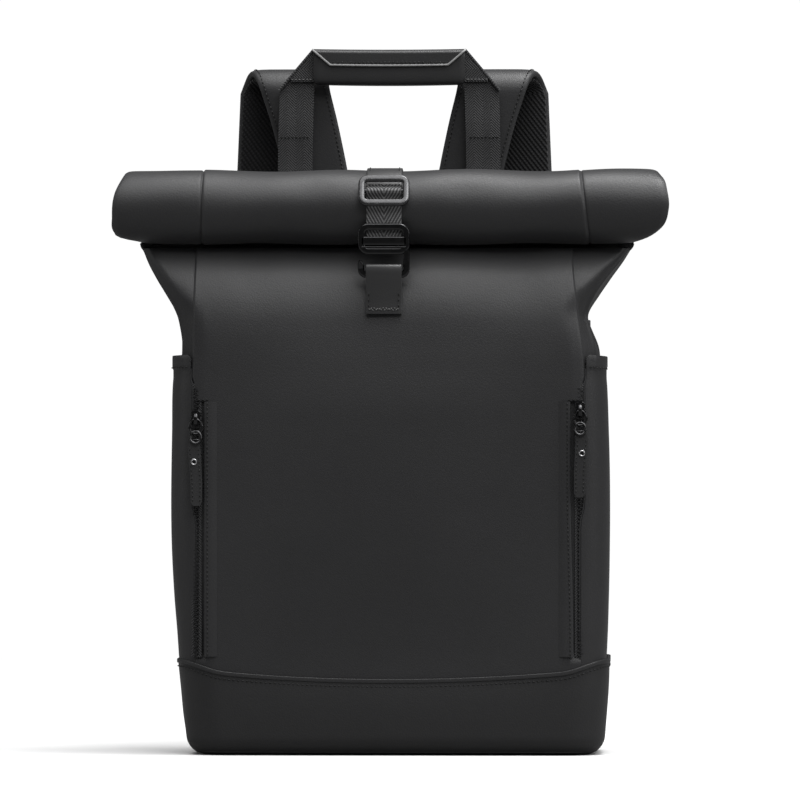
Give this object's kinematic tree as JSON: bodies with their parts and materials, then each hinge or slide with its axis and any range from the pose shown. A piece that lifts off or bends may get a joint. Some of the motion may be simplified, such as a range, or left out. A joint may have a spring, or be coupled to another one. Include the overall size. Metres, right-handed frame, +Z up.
{
  "type": "backpack",
  "caption": "Roll-top backpack in smooth black coated leather with hooked closing strap, side zips, slip pockets, webbing top handle and padded shoulder straps.",
  "frame": {"origin": "centre of the base's flat underside", "axes": "+Z up, front towards -Y, +X to the right seen from the front"},
  "size_m": [0.384, 0.1652, 0.4915],
  "materials": {
    "shell_leather": "smooth matte coated leather",
    "base_leather": "smooth coated leather, slightly darker",
    "trim_leather": "smooth leather with painted edges",
    "webbing": "herringbone nylon webbing",
    "mesh": "spacer mesh",
    "lining": "plain woven lining",
    "black_metal": "black satin coating",
    "silver_metal": "bright nickel",
    "plastic": "moulded black",
    "foam": "closed-cell foam",
    "board": "stiff base board"
  },
  "bodies": {
    "bag": {"base_panel": "base_leather", "base_board": "board", "front_panel": "shell_leather", "left_side_panel": "shell_leather", "right_side_panel": "shell_leather", "back_panel": "mesh", "lining": "lining", "laptop_sleeve": "lining", "back_foam": "foam", "left_pocket": "shell_leather", "right_pocket": "shell_leather", "left_zip": "plastic", "right_zip": "plastic", "left_zip_flap": "shell_leather", "right_zip_flap": "shell_leather", "standing_collar": "shell_leather", "strap_root": "trim_leather", "anchor_loop": "trim_leather", "strap_yoke": "trim_leather", "left_back_pad": "mesh", "right_back_pad": "mesh", "lumbar_pad": "mesh", "left_strap_riser": "shell_leather", "right_strap_riser": "shell_leather", "left_strap_anchor": "trim_leather", "right_strap_anchor": "trim_leather", "left_lower_webbing": "webbing", "right_lower_webbing": "webbing"},
    "roll": {"rolled_collar": "shell_leather", "roll_stiffener": "plastic"},
    "closure_strap": {"strap_end": "trim_leather", "closure_webbing": "webbing", "strap_slider": "black_metal", "hook_buckle": "black_metal"},
    "hook_tab": {"hook_tab": "trim_leather"},
    "handle": {"handle_webbing": "webbing", "handle_grip": "trim_leather"},
    "left_slider": {"left_zip_slider": "black_metal"},
    "left_bail": {"left_bail": "black_metal"},
    "left_pull": {"left_pull_tab": "trim_leather", "left_pull_clip": "black_metal", "left_eyelet": "silver_metal"},
    "left_strap": {"left_shoulder_strap": "shell_leather", "left_strap_mesh": "mesh", "left_ladder_lock": "plastic"},
    "right_slider": {"right_zip_slider": "black_metal"},
    "right_bail": {"right_bail": "black_metal"},
    "right_pull": {"right_pull_tab": "trim_leather", "right_pull_clip": "black_metal", "right_eyelet": "silver_metal"},
    "right_strap": {"right_shoulder_strap": "shell_leather", "right_strap_mesh": "mesh", "right_ladder_lock": "plastic"}
  },
  "joints": [
    {"name": "left_zip_run", "type": "slide", "parent": "bag", "child": "left_slider", "axis": [0, 0, -1], "range_m": [0, 0.152]},
    {"name": "left_bail_swing", "type": "hinge", "parent": "left_slider", "child": "left_bail", "pos_m": [-0.137, -0.06459, 0.233], "axis": [-1, 0, 0], "range_deg": [0, 90]},
    {"name": "left_pull_swing", "type": "hinge", "parent": "left_bail", "child": "left_pull", "pos_m": [-0.137, -0.06459, 0.223], "axis": [-1, 0, 0], "range_deg": [0, 50]},
    {"name": "right_zip_run", "type": "slide", "parent": "bag", "child": "right_slider", "axis": [0, 0, -1], "range_m": [0, 0.152]},
    {"name": "right_bail_swing", "type": "hinge", "parent": "right_slider", "child": "right_bail", "pos_m": [0.137, -0.06459, 0.239], "axis": [-1, 0, 0], "range_deg": [0, 90]},
    {"name": "right_pull_swing", "type": "hinge", "parent": "right_bail", "child": "right_pull", "pos_m": [0.137, -0.06459, 0.229], "axis": [-1, 0, 0], "range_deg": [0, 50]},
    {"name": "strap_flip", "type": "hinge", "parent": "bag", "child": "closure_strap", "pos_m": [0, -0.0015, 0.40435], "axis": [-1, 0, 0], "range_deg": [0, 95]},
    {"name": "roll_lift", "type": "hinge", "parent": "bag", "child": "roll", "pos_m": [0, -0.0015, 0.40435], "axis": [-1, 0, 0], "range_deg": [0, 72]},
    {"name": "tab_swing", "type": "hinge", "parent": "closure_strap", "child": "hook_tab", "pos_m": [0, -0.0585, 0.33325], "axis": [-1, 0, 0], "range_deg": [0, 55]},
    {"name": "handle_tilt", "type": "hinge", "parent": "bag", "child": "handle", "pos_m": [0, 0.0563, 0.3395], "axis": [-1, 0, 0], "range_deg": [-34, 0]},
    {"name": "left_strap_swing", "type": "hinge", "parent": "bag", "child": "left_strap", "pos_m": [0, 0.08, 0.464], "axis": [1, 0, 0], "range_deg": [0, 20]},
    {"name": "right_strap_swing", "type": "hinge", "parent": "bag", "child": "right_strap", "pos_m": [0, 0.08, 0.464], "axis": [1, 0, 0], "range_deg": [0, 20]}
  ],
  "couplings": [
    {"joint": "roll_lift", "follows": "strap_flip", "ratio": 0.75}
  ]
}
